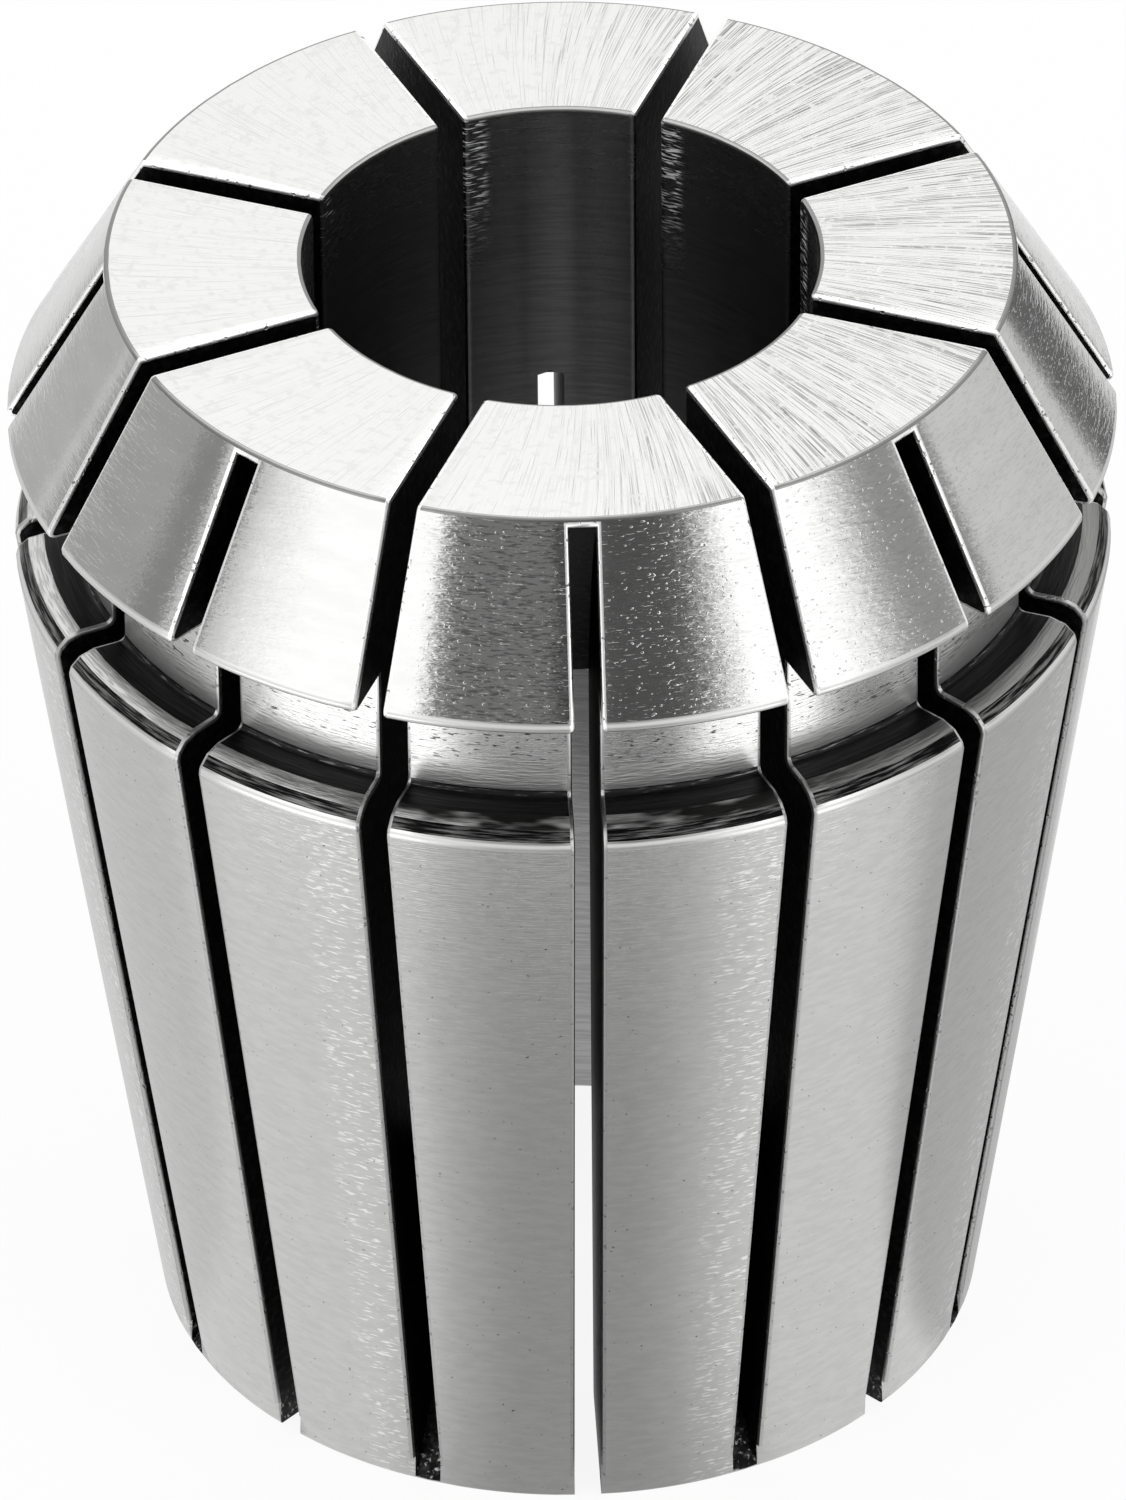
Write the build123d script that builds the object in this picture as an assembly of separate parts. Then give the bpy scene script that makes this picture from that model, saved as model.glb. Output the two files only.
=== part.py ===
from build123d import *
import math
import os

# Spring collet with an eight degree seat cone, standing on its small back end.
# Millimetres. Z is the axis of the bore, z = 0 is the back face and the nose is up.

# Overall lengths along the axis
overall_length = 46.0
nose_length = 6.95          # nose face to the underside of the flange
groove_width = 4.45         # clamping nut groove between the flange and the seat cone

# Sizes across the axis
body_diameter = 41.0        # sharp large end of the seat cone, and the flange at its widest
groove_depth = 2.4          # from the body diameter in to the groove's floor, 36.2 across
bore_diameter = 19.0        # largest shank that the bore takes

# Half angles of the two cones, in degrees
seat_half_angle = 8.0
nose_half_angle = 30.0

# Rounded corners and broken edges
flange_corner_radius = 0.35
neck_corner_break = 0.25    # at the foot of the groove's floor
face_edge_break = 0.1       # outer edge of the nose face
bore_edge_break = 0.2       # both mouths of the bore

# Shoulder of the seat cone: a flat, a shallow slope, a chamfer and a broken edge
slope_width = 0.6
slope_drop = 0.19
shoulder_chamfer = 0.38
seat_edge_depth = 0.12      # how far the broken edge lies inside the seat cone
seat_edge_height = 0.3

# Slots, sawn from both ends in turn
slots_per_end = 8
slot_width = 1.0
saw_diameter = 63.0
slot_run_out = 12.0         # length of bore left whole beyond the end of each slot
nose_web = 0.25             # skin left between a back slot and the nose face, at the outside
back_web = 0.1              # skin left between a front slot and the back face, at the outside
saw_overrun = 1.0           # how far the saw starts outside the end that it enters


def radius_on_seat(height):
    """Radius of the seat cone at a height above the back face."""
    seat_drop = overall_length - nose_length - groove_width - height
    return body_diameter / 2 - seat_drop * math.tan(math.radians(seat_half_angle))


def radius_on_nose(height):
    """Radius of the nose cone at a height above the back face."""
    corner_reach = flange_corner_radius * (1 / math.tan(math.radians(nose_half_angle)) - 1)
    sharp_corner = body_diameter / 2 + corner_reach
    nose_rise = height - (overall_length - nose_length)
    return sharp_corner - nose_rise * math.tan(math.radians(nose_half_angle))


def shoulder_corners(shoulder_height):
    """Corners of the shoulder in a radial section, from the seat cone in to the flat."""
    chamfer_top = shoulder_height - slope_drop
    chamfer_foot = chamfer_top - shoulder_chamfer
    edge_foot = chamfer_foot - seat_edge_height
    foot_radius = radius_on_seat(chamfer_foot) - seat_edge_depth
    top_radius = foot_radius - shoulder_chamfer
    return [
        (radius_on_seat(edge_foot), edge_foot),
        (foot_radius, chamfer_foot),
        (top_radius, chamfer_top),
        (top_radius - slope_width, shoulder_height),
    ]


def turned_body():
    """The collet before it is slotted: one closed section, turned about the bore's axis."""
    bore_radius = bore_diameter / 2
    neck_radius = body_diameter / 2 - groove_depth
    flange_height = overall_length - nose_length
    shoulder_height = flange_height - groove_width
    bore_back = (bore_radius, 0)
    seat_back = (radius_on_seat(0), 0)
    neck_foot = (neck_radius, shoulder_height)
    neck_head = (neck_radius, flange_height)
    flange = (radius_on_nose(flange_height), flange_height)
    face_edge = (radius_on_nose(overall_length), overall_length)
    bore_front = (bore_radius, overall_length)
    shoulder = shoulder_corners(shoulder_height)
    nose = [neck_foot, neck_head, flange, face_edge]
    section = make_face(Polyline(bore_back, seat_back, *shoulder, *nose, bore_front, close=True))

    def corner_at(point):
        return section.vertices().sort_by_distance(Vector(*point))[0]

    section = fillet(corner_at(flange), flange_corner_radius)
    for point, size in (
        (neck_foot, neck_corner_break),
        (face_edge, face_edge_break),
        (bore_front, bore_edge_break),
        (bore_back, bore_edge_break),
    ):
        section = chamfer(corner_at(point), size)
    seam_turn = 360 / slots_per_end / 4     # keeps the turned surfaces' seam between two slots
    return Rot(0, 0, seam_turn) * revolve(Plane.XZ * section, Axis.Z, 360)


def saw_centre(inner, outer, rising):
    """Centre of the saw whose rim passes through two points of a radial section.

    The saw lies outside the collet, so the slot is longest at the outer surface.
    """
    saw_radius = saw_diameter / 2
    run = outer[0] - inner[0]
    rise = outer[1] - inner[1]
    chord = math.hypot(run, rise)
    offset = math.sqrt(saw_radius**2 - (chord / 2) ** 2)
    side = 1 if rising else -1
    return (
        (inner[0] + outer[0]) / 2 + side * offset * rise / chord,
        (inner[1] + outer[1]) / 2 - side * offset * run / chord,
    )


def saw_cut(inner, outer, start, rising):
    """Solid that one pass of the saw removes, in the XZ plane, from its start height."""
    saw_radius = saw_diameter / 2
    centre = saw_centre(inner, outer, rising)
    path_height = abs(centre[1] - start)
    path_middle = (centre[1] + start) / 2
    rim = Pos(*centre) * Circle(saw_radius)
    path = Pos(centre[0], path_middle) * Rectangle(2 * saw_radius, path_height)
    return extrude(Plane.XZ * (rim + path), slot_width / 2, both=True)


def back_saw_cut():
    """Slot sawn from the back face towards the nose."""
    inner = (bore_diameter / 2, overall_length - slot_run_out)
    outer = (radius_on_nose(overall_length - nose_web), overall_length - nose_web)
    return saw_cut(inner, outer, -saw_overrun, True)


def front_saw_cut():
    """Slot sawn from the nose face towards the back."""
    inner = (bore_diameter / 2, slot_run_out)
    outer = (radius_on_seat(back_web), back_web)
    return saw_cut(inner, outer, overall_length + saw_overrun, False)


def collet():
    """One solid: the turned body with its slots."""
    pitch = 360 / slots_per_end
    body = turned_body()
    for index in range(slots_per_end):
        body -= Rot(0, 0, index * pitch) * back_saw_cut()
        body -= Rot(0, 0, (index + 0.5) * pitch) * front_saw_cut()
    return body


os.makedirs("parts", exist_ok=True)
export_step(collet(), "parts/collet.step")
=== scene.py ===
import math

import bmesh
import bpy
from mathutils import Matrix, Vector


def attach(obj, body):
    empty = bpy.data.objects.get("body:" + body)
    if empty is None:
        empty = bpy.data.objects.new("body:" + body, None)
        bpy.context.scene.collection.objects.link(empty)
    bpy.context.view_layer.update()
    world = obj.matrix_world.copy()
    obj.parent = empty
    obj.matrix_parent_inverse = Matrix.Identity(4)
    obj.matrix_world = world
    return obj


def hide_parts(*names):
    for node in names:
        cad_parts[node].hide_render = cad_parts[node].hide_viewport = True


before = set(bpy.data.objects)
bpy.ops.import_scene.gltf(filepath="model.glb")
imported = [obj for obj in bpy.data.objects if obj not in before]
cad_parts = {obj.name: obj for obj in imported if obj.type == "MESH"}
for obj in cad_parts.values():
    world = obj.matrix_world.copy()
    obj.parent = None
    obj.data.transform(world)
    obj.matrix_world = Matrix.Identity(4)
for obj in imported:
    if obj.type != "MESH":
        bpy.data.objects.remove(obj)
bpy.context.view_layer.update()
mm = 0.001


# Node helpers

def linearFromHex(code):
    values = [int(code[i:i + 2], 16) / 255 for i in (1, 3, 5)]
    return tuple(v / 12.92 if v <= 0.04045 else ((v + 0.055) / 1.055) ** 2.4
                 for v in values) + (1.0,)


def addNode(tree, kind, inputs=None, **settings):
    # an input given as a node takes that node's first output
    node = tree.nodes.new(kind)
    for name, value in settings.items():
        setattr(node, name, value)
    for name, value in (inputs or {}).items():
        source = value.outputs[0] if isinstance(value, bpy.types.Node) else value
        if isinstance(source, bpy.types.NodeSocket):
            tree.links.new(source, node.inputs[name])
        else:
            node.inputs[name].default_value = source
    return node


def startMaterial(name):
    material = bpy.data.materials.new(name)
    material.use_nodes = True
    material.node_tree.nodes.clear()
    return material, material.node_tree


# Finishes. A layer is a field of marks: how long and thick they are in mm, the part of the
# noise they take, and what they do to the colour, the roughness and the height in mm. One that
# has no length is an even tint. Marks run round the axis, "radial" across a flat face or as a
# "ring" on one. "where" keeps a layer to places, each an axis, where on it the layer starts and
# where it is full, in mm, and how much is left outside. "slot" is the left side of each front
# slot, 1 at its middle. Real grinding lines are finer than 0.05 mm, so they are drawn as coarse
# as they need to show.
finishes = {
    # nose and back faces: pale and bright with a faint mottle, thin scratches crowd on the +X side
    "groundFace": {
        "name": "ground steel face", "colour": "#ececeb", "roughness": 0.22,
        "layers": [
            {"run": "radial", "long": 7.0, "thick": 0.06, "detail": 2.0, "seed": 0.0, "from": 0.5,
             "to": 0.6, "colour": "#acacaa", "raise": -0.001, "where": [("x", -2.0, 9.0, 0.03)]},
            {"run": "radial", "long": 3.0, "thick": 0.05, "detail": 1.0, "seed": 4.0, "from": 0.6,
             "to": 0.66, "colour": "#8e8e8c", "raise": -0.001, "where": [("x", -4.0, 9.0, 0.2)]},
            {"run": "ring", "long": 0.5, "thick": 0.4, "detail": 3.0, "seed": 6.0, "from": 0.5,
             "to": 0.7, "colour": "#e2e2e1"},
        ],
    },
    # nose cone: a turned polish that mirrors the lights, with short strokes and glints from bumps,
    # and dark dashes painted in its front band as dark reflection
    "turnedCone": {
        "name": "fine turned steel cone", "colour": "#c4c4c3", "roughness": 0.11,
        "layers": [
            {"long": 3.0, "thick": 0.8, "detail": 3.0, "seed": 5.0, "from": 0.3, "to": 0.7,
             "colour": "#bebebd"},
            {"long": 0.8, "thick": 0.1, "detail": 2.0, "seed": 0.0, "from": 0.45, "to": 0.75,
             "raise": 0.004},
            {"long": 0.4, "thick": 0.12, "detail": 2.0, "seed": 3.0, "from": 0.35, "to": 0.65,
             "raise": 0.002},
            # dark dashes painted only in a band at the front, where the cone mirrors the dark card:
            # a painted reflection
            {"long": 0.45, "thick": 0.07, "detail": 2.0, "seed": 9.0, "from": 0.5, "to": 0.64,
             "colour": "#8e8e8d", "where": [("x", -6.0, -4.4, 0.0), ("x", 1.0, -1.5, 0.2)]},
            {"long": 0.16, "thick": 0.1, "detail": 0.0, "seed": 7.0, "from": 0.72, "to": 0.84,
             "raise": 0.007, "where": [("x", -9.0, 2.0, 0.2)]},
        ],
    },
    # floor of the nut groove: turned, with dark pits drawn out along the cut; rougher at its foot
    # and painted lighter there as a painted reflection
    "turnedGroove": {
        "name": "turned steel groove", "colour": "#c6c6c5", "roughness": 0.22,
        "layers": [
            {"long": 0.7, "thick": 0.08, "detail": 2.0, "seed": 0.0, "from": 0.3, "to": 0.7,
             "raise": 0.004},
            {"long": 0.45, "thick": 0.1, "detail": 1.0, "seed": 3.0, "from": 0.63, "to": 0.7,
             "colour": "#4c4c4c"},
            # the foot is made rougher and also painted lighter: the lighter colour is a painted
            # reflection
            {"colour": "#dadad9", "rough": 0.36, "where": [("z", 36.6, 35.0, 0.0)]},
        ],
    },
    # flat and corner beside the groove's floor and the flange's underside: painted nearly black, as
    # shade under the flange and in the groove's corner
    "paintedShadeWall": {
        "name": "groove wall painted dark as shade", "colour": "#242424", "roughness": 0.4,
        "layers": [
            {"run": "ring", "long": 1.5, "thick": 0.08, "detail": 2.0, "seed": 0.0, "from": 0.4,
             "to": 0.7, "colour": "#343434", "raise": 0.004},
            {"long": 0.9, "thick": 0.06, "detail": 2.0, "seed": 5.0, "from": 0.55, "to": 0.7,
             "colour": "#7c7c7c", "where": [("z", 34.62, 34.7, 0.0)]},
        ],
    },
    # shallow slope of the shoulder, streaked round: painted light to one side and grey to the
    # other, with painted dark patches between, as painted reflection and shade
    "shoulderSlopePaintedLight": {
        "name": "streaked shoulder slope with painted light and shade", "colour": "#d4d4d3", "roughness": 0.4,
        "layers": [
            {"run": "ring", "long": 0.8, "thick": 0.07, "detail": 2.0, "seed": 0.0, "from": 0.42,
             "to": 0.6, "colour": "#b4b4b3", "raise": 0.006},
            # dark patches painted from x = -6 mm towards +X: painted shade
            {"run": "ring", "long": 3.0, "thick": 1.2, "detail": 3.0, "seed": 2.0, "from": 0.4,
             "to": 0.52, "colour": "#323231", "where": [("x", -10.0, -6.0, 0.0)]},
            # the +X side painted grey: a painted darker reflection
            {"colour": "#8a8a89", "where": [("x", 6.0, 11.0, 0.0)]},
        ],
    },
    # chamfer of the shoulder: torn dark by the tool
    "shoulderRough": {
        "name": "torn turned steel chamfer", "colour": "#7c7c7b", "roughness": 0.3,
        "layers": [
            {"long": 1.8, "thick": 0.06, "detail": 4.0, "seed": 0.0, "from": 0.32, "to": 0.58,
             "colour": "#101010", "raise": -0.01},
        ],
    },
    # seat cone: even grey from fine grinding, few dark specks, and light strokes beside the front
    # slots painted as glints
    "groundSeat": {
        "name": "cylindrically ground steel seat", "colour": "#c8c8c7", "roughness": 0.2,
        "layers": [
            {"long": 0.9, "thick": 0.25, "detail": 3.0, "seed": 9.0, "from": 0.3, "to": 0.7,
             "colour": "#c0c0bf"},
            {"long": 1.2, "thick": 0.08, "detail": 2.0, "seed": 0.0, "from": 0.3, "to": 0.7,
             "raise": 0.004},
            # light strokes painted beside the front slots: painted glints
            {"long": 0.5, "thick": 0.09, "detail": 1.0, "seed": 2.0, "from": 0.57, "to": 0.68,
             "colour": "#ececeb", "where": [("slot", 0.72, 1.0, 0.02)]},
            {"long": 0.12, "thick": 0.1, "detail": 0.0, "seed": 6.0, "from": 0.82, "to": 0.87,
             "colour": "#5a5a5a"},
        ],
    },
    # bore: dark inside, with fine lines round it, and torn rough dashes beside the front slots
    # whose white colour is a painted glint
    "honedBore": {
        "name": "ground steel bore", "colour": "#a4a4a4", "roughness": 0.27,
        "layers": [
            {"long": 2.0, "thick": 0.12, "detail": 2.0, "seed": 0.0, "from": 0.35, "to": 0.65,
             "colour": "#949494", "raise": 0.0015},
            # the dashes are rough, and painted white as glints
            {"long": 0.7, "thick": 0.07, "detail": 1.0, "seed": 8.0, "from": 0.63, "to": 0.7,
             "colour": "#e0e0e0", "rough": 0.6,
             "where": [("z", 42.0, 45.9, 0.0), ("slot", 0.72, 1.0, 0.12)]},
            {"long": 0.7, "thick": 0.08, "detail": 1.0, "seed": 4.0, "from": 0.54, "to": 0.63,
             "colour": "#ffffff", "rough": 0.7,
             "where": [("z", 39.0, 43.0, 0.0), ("slot", 0.78, 0.95, 0.0), ("x", -7.0, -4.5, 0.0)]},
        ],
    },
    # slot walls: painted near black as shade inside the narrow slots, with a few bright specks
    "slotPaintedShade": {
        "name": "sawn slot walls painted near black as shade", "colour": "#161616", "roughness": 0.5,
        "layers": [
            {"long": 0.3, "thick": 0.3, "detail": 3.0, "seed": 0.0, "from": 0.4, "to": 0.8,
             "colour": "#3a3a3a", "raise": 0.01},
            {"long": 0.16, "thick": 0.2, "detail": 2.0, "seed": 3.0, "from": 0.56, "to": 0.76,
             "colour": "#b0b0b0", "where": [("z", 1.8, 0.6, 0.0)]},
        ],
    },
    # broken edges of the slots: bright lines with nicks, duller below the nose
    "brokenEdge": {
        "name": "rubbed bright slot edge", "colour": "#f4f4f3", "roughness": 0.36,
        "layers": [
            {"colour": "#b8b8b7", "where": [("z", 38.5, 36.5, 0.0)]},
            {"long": 0.2, "thick": 0.2, "detail": 1.0, "seed": 0.0, "from": 0.6, "to": 0.72,
             "colour": "#8c8c8c", "raise": -0.012},
        ],
    },
    # turned edges: clean bright lines
    "turnedEdge": {
        "name": "turned bright edge", "colour": "#d0d0cf", "roughness": 0.3, "layers": [],
    },
    # outer edge of the nose face and mouths of the bore: thin lines painted grey
    "faceEdge": {
        "name": "grey edge line", "colour": "#8a8a89", "roughness": 0.3, "layers": [],
    },
}
finishIndex = {name: index for index, name in enumerate(finishes)}
radialAt = 13.0 * mm     # radius where a radial layer's thickness is true
radialSlant = 8.0        # radians per metre of radius
slotPhase = 216.0        # degrees of the slots' wave, puts "slot" left of each front slot
noiseGrain = 0.6         # how strong the noise's finer octaves are


def makeFinish(finish):
    material, tree = startMaterial(finish["name"])
    point = addNode(tree, "ShaderNodeTexCoord").outputs["Object"]
    axes = addNode(tree, "ShaderNodeSeparateXYZ", {"Vector": point}).outputs
    flat = addNode(tree, "ShaderNodeCombineXYZ", {"X": axes["X"], "Y": axes["Y"]})
    radius = addNode(tree, "ShaderNodeVectorMath", {0: flat}, operation="LENGTH").outputs["Value"]
    slant = addNode(tree, "ShaderNodeMath", {0: radius, 1: radialSlant}, operation="MULTIPLY")
    swirled = addNode(tree, "ShaderNodeVectorRotate", {"Vector": flat, "Angle": slant},
                      rotation_type="Z_AXIS")
    outward = addNode(tree, "ShaderNodeVectorMath", {0: swirled}, operation="NORMALIZE")
    across = addNode(tree, "ShaderNodeVectorMath", {0: outward, "Scale": radialAt},
                     operation="SCALE")
    along = addNode(tree, "ShaderNodeCombineXYZ", {"Z": radius})
    radial = addNode(tree, "ShaderNodeVectorMath", {0: across, 1: along},
                     operation="ADD").outputs[0]
    turn = addNode(tree, "ShaderNodeMath", {0: axes["X"], 1: axes["Y"]}, operation="ARCTAN2")
    wave = addNode(tree, "ShaderNodeMath", {
        0: turn, 1: -collet["slotsPerEnd"], 2: math.radians(slotPhase)}, operation="MULTIPLY_ADD")
    beside = addNode(tree, "ShaderNodeMath", {0: wave}, operation="COSINE")
    places = {"x": (axes["X"], mm), "z": (axes["Z"], mm), "slot": (beside.outputs[0], 1.0)}
    colour, roughness, height = linearFromHex(finish["colour"]), finish["roughness"], None
    for layer in finish["layers"]:
        amount = 1.0
        if "long" in layer:
            run = layer.get("run", "round")
            quick, slow = 1 / (layer["thick"] * mm), 1 / (layer["long"] * mm)
            mapped = addNode(tree, "ShaderNodeMapping", {
                "Vector": point if run == "round" else radial, "Location": (layer["seed"],) * 3,
                "Scale": (quick, quick, slow) if run == "radial" else (slow, slow, quick)})
            noise = addNode(tree, "ShaderNodeTexNoise", {
                "Vector": mapped, "Scale": 1.0, "Detail": layer["detail"], "Roughness": noiseGrain})
            amount = addNode(tree, "ShaderNodeMapRange", {
                "Value": noise, "From Min": layer["from"], "From Max": layer["to"]},
                             interpolation_type="SMOOTHSTEP")
        for axis, start, full, least in layer.get("where", []):
            value, unit = places[axis]
            kept = addNode(tree, "ShaderNodeMapRange", {
                "Value": value, "From Min": start * unit, "From Max": full * unit, "To Min": least},
                           interpolation_type="SMOOTHSTEP")
            amount = addNode(tree, "ShaderNodeMath", {0: amount, 1: kept}, operation="MULTIPLY")
        if "colour" in layer:
            tint = linearFromHex(layer["colour"])
            colour = addNode(tree, "ShaderNodeMix", {0: amount, 6: colour, 7: tint},
                             data_type="RGBA").outputs[2]
        if "rough" in layer:
            roughness = addNode(tree, "ShaderNodeMix", {0: amount, 2: roughness, 3: layer["rough"]},
                                data_type="FLOAT")
        if "raise" in layer:
            height = addNode(tree, "ShaderNodeMath", {
                0: amount, 1: layer["raise"], 2: height or 0.0}, operation="MULTIPLY_ADD")
    shading = {"Metallic": 1.0, "Roughness": roughness, "Base Color": colour}
    if height:
        shading["Normal"] = addNode(tree, "ShaderNodeBump", {
            "Height": height, "Strength": 1.0, "Distance": mm})
    shader = addNode(tree, "ShaderNodeBsdfPrincipled", shading)
    addNode(tree, "ShaderNodeOutputMaterial", {"Surface": shader})
    return material


# The collet, in millimetres, modelled at that scale and brought to metres at the end
collet = {
    "length": 46.0,
    "noseLength": 6.95,       # nose face to the underside of the flange
    "grooveWidth": 4.45,
    "bodyRadius": 20.5,       # sharp large end of the seat
    "neckRadius": 18.1,       # floor of the groove
    "boreRadius": 9.5,
    "seatAngle": 8.0,         # half angles of the two cones, degrees
    "noseAngle": 30.0,
    "flangeCorner": 0.35,
    "slopeWidth": 0.6,        # the shoulder: a shallow slope, a chamfer and a broken edge
    "slopeDrop": 0.19,
    "chamfer": 0.38,
    "seatEdgeDepth": 0.12,
    "seatEdgeHeight": 0.3,
    "seatEdgeRound": 0.06,
    "neckBreak": 0.25,        # corner at the foot of the groove's floor
    "faceBreak": 0.12,        # outer edge of the nose face
    "boreBreak": 0.2,         # both mouths of the bore
    "backBreak": 0.1,         # outer edge of the back face
    "slotsPerEnd": 8,
    "slotWidth": 1.0,
    "sawRadius": 31.5,
    "sawSegments": 240,
    "sawOverrun": 1.0,        # how far outside the collet a pass starts
    "slotRunOut": 12.0,       # length of bore left whole beyond each slot
    "noseWeb": 0.25,          # skins left outside, at the slots' blind ends
    "backWeb": 0.1,
    "besideSlot": 4.5,        # degrees on each side of a slot with no turned line
    "stepsBetween": 9,
    "edgeBreak": 0.17,        # edges of the slots
    "breakFrom": 1.0,         # height under which those edges stay sharp
    "sharpFrom": 35.0,        # degrees between faces that shade as an edge
    "weld": 0.0005,
}
flangeHeight = collet["length"] - collet["noseLength"]
shoulderHeight = flangeHeight - collet["grooveWidth"]
chamferTop = shoulderHeight - collet["slopeDrop"]
chamferFoot = chamferTop - collet["chamfer"]
seatTop = chamferFoot - collet["seatEdgeHeight"]
seatSlope = math.tan(math.radians(collet["seatAngle"]))
noseSlope = math.tan(math.radians(collet["noseAngle"]))


def seatRadius(height):
    return collet["bodyRadius"] - (shoulderHeight - height) * seatSlope


def noseRadius(height):
    sharpCorner = collet["bodyRadius"] + collet["flangeCorner"] * (1 / noseSlope - 1)
    return sharpCorner - (height - flangeHeight) * noseSlope


def sectionCorners():
    # (radius, height, how far the corner's rounding reaches along its sides, segments)
    footRadius = seatRadius(chamferFoot) - collet["seatEdgeDepth"]
    topRadius = footRadius - collet["chamfer"]
    return [
        (collet["boreRadius"], 0.0, collet["boreBreak"], 1),
        (seatRadius(0), 0.0, collet["backBreak"], 2),
        (seatRadius(collet["breakFrom"]), collet["breakFrom"], 0.0, 0),
        (seatRadius(seatTop), seatTop, 0.0, 0),
        (footRadius, chamferFoot, collet["seatEdgeRound"], 2),
        (topRadius, chamferTop, 0.0, 0),
        (topRadius - collet["slopeWidth"], shoulderHeight, 0.0, 0),
        (collet["neckRadius"], shoulderHeight, collet["neckBreak"], 3),
        (collet["neckRadius"], flangeHeight, 0.0, 0),
        (noseRadius(flangeHeight), flangeHeight, collet["flangeCorner"] / noseSlope, 8),
        (noseRadius(collet["length"]), collet["length"], collet["faceBreak"], 3),
        (collet["boreRadius"], collet["length"], collet["boreBreak"], 2),
    ]


def finishOf(face):
    # told by where the face lies and by its normal's lean from level, as a sine
    centre = face.calc_center_median()
    radius, height, lean = math.hypot(centre.x, centre.y), centre.z, face.normal.z
    near, upright = 0.02, 0.99
    if radius < collet["boreRadius"] + near:
        return "honedBore"
    # level faces away from the two ends, the shoulder's flat and the flange's underside, are
    # painted dark as shade
    if abs(lean) > upright:
        return "groundFace" if min(height, collet["length"] - height) < near else "paintedShadeWall"
    if radius < collet["boreRadius"] + collet["boreBreak"]:
        return "faceEdge"
    if height > collet["length"] - collet["faceBreak"]:
        return "faceEdge"
    # the rounded corner at the groove's foot is painted dark as shade too
    if shoulderHeight < height < flangeHeight:
        return "turnedGroove" if height > shoulderHeight + collet["neckBreak"] else "paintedShadeWall"
    if height > flangeHeight and abs(lean - math.sin(math.radians(collet["noseAngle"]))) < near:
        return "turnedCone"
    if height < seatTop and abs(lean + math.sin(math.radians(collet["seatAngle"]))) < near:
        return "groundSeat"
    if chamferTop < height < shoulderHeight:
        return "shoulderSlopePaintedLight"
    if chamferFoot < height < chamferTop and abs(lean - math.sqrt(0.5)) < near:
        return "shoulderRough"
    return "turnedEdge"


def turnedBody():
    bm = bmesh.new()
    corners = sectionCorners()
    verts = [bm.verts.new((radius, 0, height)) for radius, height, _, _ in corners]
    bm.faces.new(verts)
    for vert, (_, _, reach, segments) in zip(verts, corners):
        if reach:
            bmesh.ops.bevel(bm, geom=[vert], offset=reach, offset_type="OFFSET", segments=segments,
                            profile=0.5, affect="VERTICES", material=-1)
    bmesh.ops.delete(bm, geom=list(bm.faces), context="FACES_ONLY")
    # wide steps beside each slot keep the turned lines clear of the saw cuts
    profile = list(bm.edges)
    pitch = math.pi / collet["slotsPerEnd"]
    beside = math.radians(collet["besideSlot"])
    between = pitch - 2 * beside
    for sector in range(2 * collet["slotsPerEnd"]):
        for angle, steps in ((beside, 1), (between, collet["stepsBetween"]), (beside, 1)):
            turned = bmesh.ops.spin(bm, geom=profile, cent=(0, 0, 0), axis=(0, 0, 1),
                                    dvec=(0, 0, 0), angle=angle, steps=steps,
                                    use_merge=False, use_duplicate=False)
            profile = [item for item in turned["geom_last"] if isinstance(item, bmesh.types.BMEdge)]
    bmesh.ops.remove_doubles(bm, verts=list(bm.verts), dist=collet["weld"])
    bmesh.ops.recalc_face_normals(bm, faces=list(bm.faces))
    for face in bm.faces:
        face.material_index = finishIndex[finishOf(face)]
    return bm


def sawPass(inner, outer, start, rising):
    # one pass of the saw in the XZ plane: the half of its rim that ends the slot, and its way in
    run, climb = outer[0] - inner[0], outer[1] - inner[1]
    chord = math.hypot(run, climb)
    offset = math.sqrt(collet["sawRadius"] ** 2 - (chord / 2) ** 2)
    side = 1 if rising else -1
    centre = Vector(((inner[0] + outer[0]) / 2 + side * offset * climb / chord, 0,
                     (inner[1] + outer[1]) / 2 - side * offset * run / chord))
    bm = bmesh.new()
    upright = Matrix.Translation(centre) @ Matrix.Rotation(math.pi / 2, 4, "X")
    bmesh.ops.create_circle(bm, cap_ends=True, cap_tris=False, segments=collet["sawSegments"],
                            radius=collet["sawRadius"], matrix=upright)
    bmesh.ops.bisect_plane(bm, geom=list(bm.verts) + list(bm.edges) + list(bm.faces),
                           plane_co=centre, plane_no=(0, 0, side), clear_inner=True)
    wayIn = [edge for edge in bm.edges
             if all(abs(vert.co.z - centre.z) < collet["weld"] for vert in edge.verts)]
    lowered = bmesh.ops.extrude_edge_only(bm, edges=wayIn)["geom"]
    for vert in lowered:
        if isinstance(vert, bmesh.types.BMVert):
            vert.co.z = start
    bmesh.ops.dissolve_faces(bm, faces=list(bm.faces))
    bmesh.ops.translate(bm, verts=list(bm.verts), vec=(0, -collet["slotWidth"] / 2, 0))
    pushed = bmesh.ops.extrude_face_region(bm, geom=list(bm.faces))["geom"]
    bmesh.ops.translate(bm, verts=[item for item in pushed if isinstance(item, bmesh.types.BMVert)],
                        vec=(0, collet["slotWidth"], 0))
    bmesh.ops.recalc_face_normals(bm, faces=list(bm.faces))
    return bm


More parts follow.
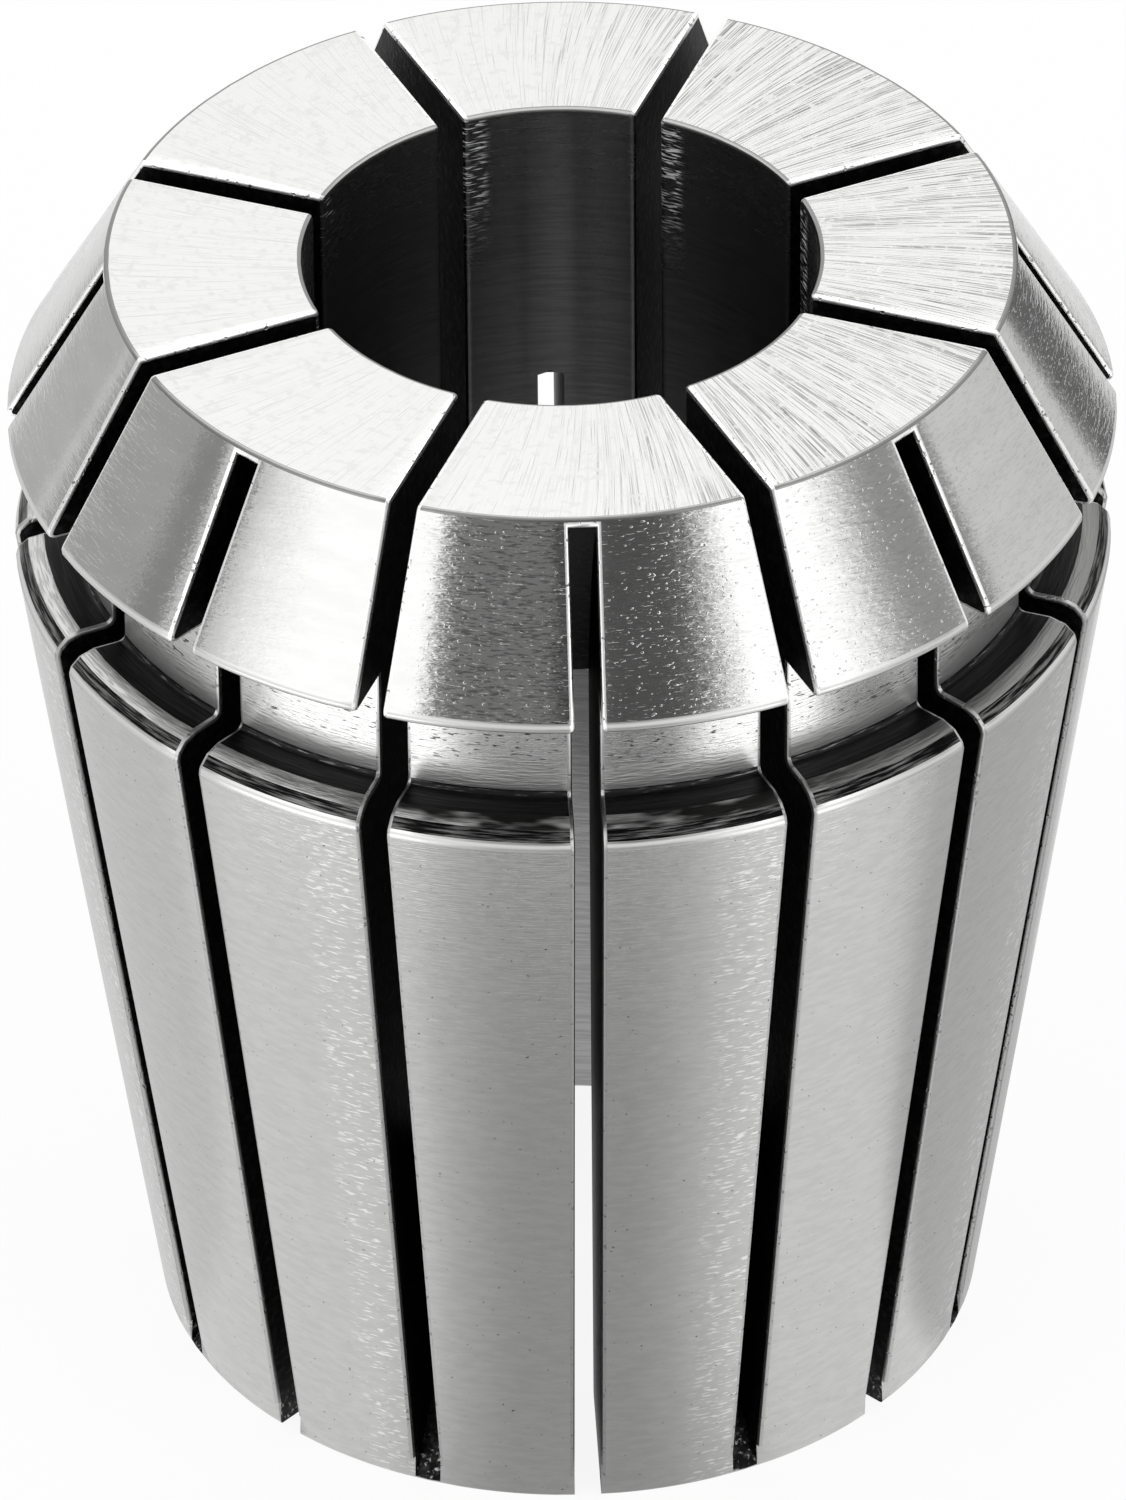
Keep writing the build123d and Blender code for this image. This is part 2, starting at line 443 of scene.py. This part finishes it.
def sawCuts():
    length, bore = collet["length"], collet["boreRadius"]
    noseEnd, backEnd = length - collet["noseWeb"], collet["backWeb"]
    backPass = sawPass((bore, length - collet["slotRunOut"]), (noseRadius(noseEnd), noseEnd),
                       -collet["sawOverrun"], True)
    frontPass = sawPass((bore, collet["slotRunOut"]), (seatRadius(backEnd), backEnd),
                        length + collet["sawOverrun"], False)
    cuts = bmesh.new()
    pitch = 2 * math.pi / collet["slotsPerEnd"]
    for index in range(collet["slotsPerEnd"]):
        for single, place in ((backPass, index), (frontPass, index + 0.5)):
            copy = bpy.data.meshes.new("pass")
            single.to_mesh(copy)
            copy.transform(Matrix.Rotation(place * pitch, 4, "Z"))
            cuts.from_mesh(copy)
            bpy.data.meshes.remove(copy)
    # the saw cuts' walls take the finish painted near black as shade
    for face in cuts.faces:
        face.material_index = finishIndex["slotPaintedShade"]
    return cuts


def meshObject(name, bm):
    mesh = bpy.data.meshes.new(name)
    bm.to_mesh(mesh)
    bm.free()
    thing = bpy.data.objects.new(name, mesh)
    bpy.context.scene.collection.objects.link(thing)
    return thing


def finishedMesh(thing):
    bpy.context.view_layer.update()
    shown = thing.evaluated_get(bpy.context.evaluated_depsgraph_get())
    return bpy.data.meshes.new_from_object(shown)


print("turning the body")
body = meshObject("slotted_collet", turnedBody())
cuts = meshObject("saw_cuts", sawCuts())
for finish in finishes.values():
    made = makeFinish(finish)
    body.data.materials.append(made)
    cuts.data.materials.append(made)

print("sawing the slots")
saw = body.modifiers.new("slots", "BOOLEAN")
saw.operation = "DIFFERENCE"
saw.solver = "EXACT"
saw.object = cuts
body.data = finishedMesh(body)
body.modifiers.clear()
bpy.data.objects.remove(cuts)

print("breaking the slot edges")
bm = bmesh.new()
bm.from_mesh(body.data)
bmesh.ops.remove_doubles(bm, verts=list(bm.verts), dist=collet["weld"])
sawn = finishIndex["slotPaintedShade"]
lowest = collet["breakFrom"] - collet["weld"]
mouths = [edge for edge in bm.edges
          if len(edge.link_faces) == 2
          and sum(face.material_index == sawn for face in edge.link_faces) == 1
          and min(vert.co.z for vert in edge.verts) > lowest]
broken = bmesh.ops.bevel(bm, geom=mouths, offset=collet["edgeBreak"], offset_type="OFFSET",
                         segments=2, profile=0.5, affect="EDGES", material=-1,
                         clamp_overlap=False, loop_slide=True)
for face in broken["faces"]:
    centre = face.calc_center_median()
    inBore = math.hypot(centre.x, centre.y) < collet["boreRadius"] + collet["edgeBreak"]
    face.material_index = finishIndex["honedBore" if inBore else "brokenEdge"]
for face in bm.faces:
    face.smooth = True
for edge in bm.edges:
    edge.smooth = edge.is_manifold and edge.calc_face_angle(0) < math.radians(collet["sharpFrom"])
openEdges = [edge for edge in bm.edges if not edge.is_manifold]
print("faces", len(bm.faces), "open edges", len(openEdges), "mouth edges", len(mouths))
bmesh.ops.scale(bm, vec=(mm, mm, mm), verts=list(bm.verts))
bm.to_mesh(body.data)
bm.free()
even = body.modifiers.new("even normals", "WEIGHTED_NORMAL")
even.mode = "FACE_AREA"
even.keep_sharp = True
body.data = finishedMesh(body)
body.modifiers.clear()
body.data.name = "slotted_collet"

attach(body, "root")
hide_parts("collet")

print("studio")
studio = {
    "floorSize": 6.0,      # metres
    "paper": "#f0f0f0",
    "ambient": 0.6,        # light from the sky on what is not mirrored
    "floorGlow": 0.9,      # how far the floor is brought to white for the camera
    "mirroredGlow": 0.8,   # and for the metal
    "floorDrop": 0.00001,  # keeps the floor clear of the back face, metres
    "cardRise": 0.00002,   # and the cards clear of the floor
    "cardColumns": 12,
    "cardRows": 6,
}

# Softboxes, in degrees from the camera's side and from the table, metres and watts.
# The metal mirrors the back one; for the others it mirrors cards with softer sides.
softboxes = {
    "back softbox": {"turn": 180, "lift": 62, "at": 0.6, "size": (0.7, 0.3), "watts": 1.2,
                     "mirrored": True},
    "left softbox": {"turn": -50, "lift": 28, "at": 0.6, "size": (0.4, 0.68), "watts": 1.6},
    "right softbox": {"turn": 47, "lift": 28, "at": 0.6, "size": (0.4, 0.68), "watts": 1.4},
}

# Grey and white cards that only the metal mirrors, with soft sides. Turns and lifts are in
# degrees, from the camera's side and from the table. A card stands "at" a distance in metres
# from the collet's middle, or lies on the table out to a "reach" in millimetres, where
# "taper" is how much narrower its near end is. Tones are beside white; "fade" is how much of
# the turn each side takes to fade.
cards = {
    "left light": {"turn": (-80, -22), "lift": (-1, 58), "at": 0.72,
                   "tone": 1.87, "fade": (0.42, 0.1)},
    "right light": {"turn": (20, 72), "lift": (-1, 58), "at": 0.72,
                    "tone": 2.0, "fade": (0.1, 0.42)},
    "camera side": {"turn": (-33, 37), "lift": (12, 66), "at": 0.7,
                    "tone": 0.28, "fade": (0.1, 0.22)},
    "camera side, right": {"turn": (-2, 34), "lift": (12, 66), "at": 0.68,
                           "tone": 0.13, "fade": (0.08, 0.5)},
    "left side": {"turn": (-94, -78), "lift": (-2, 40), "at": 0.55,
                  "tone": 0.4, "fade": (0.3, 0.3)},
    "left rear": {"turn": (-122, -84), "lift": (-2, 40), "at": 0.7,
                  "tone": 0.6, "fade": (0.15, 0.15)},
    "left far": {"turn": (-150, -116), "lift": (-8, 14), "at": 0.15,
                 "tone": 0.72, "fade": (0.15, 0.15)},
    "right side": {"turn": (56, 87), "lift": (-2, 40), "at": 0.55,
                   "tone": 0.48, "fade": (0.5, 0.2)},
    "right far": {"turn": (117, 150), "lift": (-8, 14), "at": 0.15,
                  "tone": 0.2, "fade": (0.25, 0.15)},
    "seat, front": {"turn": (-48, 44), "reach": (14.5, 50), "taper": 0.76,
                    "tone": 0.45, "fade": (0.4, 0.4)},
    "seat, right": {"turn": (74, 160), "reach": (14.5, 90), "taper": 0.76,
                    "tone": 0.62, "fade": (0.14, 0.1)},
    "seat, left": {"turn": (-170, -84), "reach": (14.5, 90), "taper": 0.8,
                   "tone": 0.82, "fade": (0.1, 0.14)},
    "groove": {"turn": (-28, 1), "reach": (56, 95), "taper": 1, "tone": 0.34, "fade": (0.3, 0.05)},
    "groove, right": {"turn": (-1, 28), "reach": (56, 95), "taper": 1,
                      "tone": 0.2, "fade": (0.05, 0.3)},
    "groove white, left": {"turn": (-68, -21), "reach": (61, 100), "taper": 1,
                           "tone": 2.5, "fade": (0.12, 0.12)},
    "groove white, right": {"turn": (22, 54), "reach": (61, 100), "taper": 1,
                            "tone": 2.4, "fade": (0.15, 0.15)},
    "groove side, right": {"turn": (52, 76), "reach": (60, 95), "taper": 1,
                           "tone": 0.3, "fade": (0.2, 0.2)},
}


def makeFloor():
    bm = bmesh.new()
    bmesh.ops.create_grid(bm, x_segments=1, y_segments=1, size=studio["floorSize"] / 2)
    bmesh.ops.translate(bm, verts=list(bm.verts), vec=(0, 0, -studio["floorDrop"]))
    floor = meshObject("floor", bm)
    material, tree = startMaterial("white paper")
    paper = addNode(tree, "ShaderNodeBsdfDiffuse", {"Color": linearFromHex(studio["paper"])})
    glow = addNode(tree, "ShaderNodeEmission", {"Color": (1, 1, 1, 1), "Strength": 1.0})
    rays = addNode(tree, "ShaderNodeLightPath").outputs
    mirrored = addNode(tree, "ShaderNodeMath", {
        0: rays["Is Glossy Ray"], 1: rays["Is Transmission Ray"]}, operation="MAXIMUM")
    forMetal = addNode(tree, "ShaderNodeMath", {0: mirrored, 1: studio["mirroredGlow"]},
                       operation="MULTIPLY")
    amount = addNode(tree, "ShaderNodeMath", {
        0: rays["Is Camera Ray"], 1: studio["floorGlow"], 2: forMetal}, operation="MULTIPLY_ADD")
    mixed = addNode(tree, "ShaderNodeMixShader", {0: amount, 1: paper, 2: glow})
    addNode(tree, "ShaderNodeOutputMaterial", {"Surface": mixed})
    floor.data.materials.append(material)


def makeWorld():
    # white for the camera and the metal, softer as a light
    world = bpy.data.worlds.new("studio")
    bpy.context.scene.world = world
    world.use_nodes = True
    tree = world.node_tree
    tree.nodes.clear()
    rays = addNode(tree, "ShaderNodeLightPath").outputs
    seen = addNode(tree, "ShaderNodeMath", {0: rays["Is Camera Ray"], 1: rays["Is Glossy Ray"]},
                   operation="MAXIMUM")
    mirrored = addNode(tree, "ShaderNodeMath", {0: seen, 1: rays["Is Transmission Ray"]},
                       operation="MAXIMUM")
    strength = addNode(tree, "ShaderNodeMath", {
        0: mirrored, 1: 1 - studio["ambient"], 2: studio["ambient"]}, operation="MULTIPLY_ADD")
    back = addNode(tree, "ShaderNodeBackground", {"Color": (1, 1, 1, 1), "Strength": strength})
    addNode(tree, "ShaderNodeOutputWorld", {"Surface": back})


middle = Vector((0, 0, collet["length"] / 2 * mm))


def placeOf(turn, lift, distance):
    turn, lift = math.radians(turn), math.radians(lift)
    level = math.cos(lift)
    return Vector((math.sin(turn) * level, -math.cos(turn) * level, math.sin(lift))) * distance


def addSoftbox(name, box):
    data = bpy.data.lights.new(name, "AREA")
    data.shape = "RECTANGLE"
    data.size, data.size_y = box["size"]
    data.energy = box["watts"]
    lamp = bpy.data.objects.new(name, data)
    bpy.context.scene.collection.objects.link(lamp)
    lamp.location = middle + placeOf(box["turn"], box["lift"], box["at"])
    lamp.rotation_euler = (lamp.location - middle).to_track_quat("Z", "Y").to_euler()
    lamp.visible_glossy = box.get("mirrored", False)


def addCard(name, card):
    # the grid runs from -0.5 to 0.5 both ways and is then bent into its place
    bm = bmesh.new()
    bmesh.ops.create_grid(bm, x_segments=studio["cardColumns"], y_segments=studio["cardRows"],
                          size=0.5)
    spread = bm.loops.layers.uv.new("spread")
    for face in bm.faces:
        for loop in face.loops:
            loop[spread].uv = (loop.vert.co.x + 0.5, loop.vert.co.y + 0.5)
    turnFrom, turnTo = card["turn"]
    rowFrom, rowTo = card["lift"] if "lift" in card else card["reach"]
    for vert in bm.verts:
        turn = turnFrom + (vert.co.x + 0.5) * (turnTo - turnFrom)
        row = rowFrom + (vert.co.y + 0.5) * (rowTo - rowFrom)
        if "lift" in card:
            vert.co = middle + placeOf(turn, row, card["at"])
        else:
            turn *= card["taper"] + (vert.co.y + 0.5) * (1 - card["taper"])
            vert.co = placeOf(turn, 0, row * mm) + Vector((0, 0, studio["cardRise"]))
    thing = meshObject(name, bm)
    material, tree = startMaterial(name)
    along = addNode(tree, "ShaderNodeSeparateXYZ", {
        "Vector": addNode(tree, "ShaderNodeUVMap", uv_map="spread")}).outputs["X"]
    first, last = card["fade"]
    rising = addNode(tree, "ShaderNodeMapRange", {
        "Value": along, "From Min": 0.0, "From Max": first}, interpolation_type="SMOOTHSTEP")
    falling = addNode(tree, "ShaderNodeMapRange", {
        "Value": along, "From Min": 1.0, "From Max": 1.0 - last}, interpolation_type="SMOOTHSTEP")
    inside = addNode(tree, "ShaderNodeMath", {0: rising, 1: falling}, operation="MULTIPLY")
    through = addNode(tree, "ShaderNodeBsdfTransparent")
    cloth = addNode(tree, "ShaderNodeEmission", {"Color": (1, 1, 1, 1), "Strength": card["tone"]})
    faded = addNode(tree, "ShaderNodeMixShader", {0: inside, 1: through, 2: cloth})
    addNode(tree, "ShaderNodeOutputMaterial", {"Surface": faded})
    thing.data.materials.append(material)
    thing.visible_camera = thing.visible_diffuse = False
    thing.visible_shadow = thing.visible_transmission = False


makeFloor()
makeWorld()
for name, box in softboxes.items():
    addSoftbox(name, box)
for name, card in cards.items():
    addCard(name + " card", card)

print("camera")
camera = {
    "imageHeight": 1500,
    "focalPixels": 16324.0,
    "distance": 613.3,     # mm
    "elevation": 0.635,    # radians
    "turn": -2.4,          # degrees
    "roll": -0.0081,       # radians
    "aimHeight": 23.36,    # mm
    "aimSide": -0.062,
    "clip": (0.01, 50),    # metres
}


def addCamera():
    data = bpy.data.cameras.new("camera")
    data.lens = camera["focalPixels"] * data.sensor_width / camera["imageHeight"]
    data.clip_start, data.clip_end = camera["clip"]
    thing = bpy.data.objects.new("camera", data)
    bpy.context.scene.collection.objects.link(thing)
    turn = Matrix.Rotation(math.radians(camera["turn"]), 4, "Z")
    away = Vector((0, -math.cos(camera["elevation"]), math.sin(camera["elevation"])))
    aim = Vector((camera["aimSide"], 0, camera["aimHeight"]))
    facing = away.to_track_quat("Z", "Y").to_matrix().to_4x4()
    roll = Matrix.Rotation(camera["roll"], 4, "Z")
    place = Matrix.Translation((aim + away * camera["distance"]) * mm)
    thing.matrix_world = turn @ place @ facing @ roll
    bpy.context.scene.camera = thing


addCamera()
bpy.context.scene.view_settings.view_transform = "Standard"
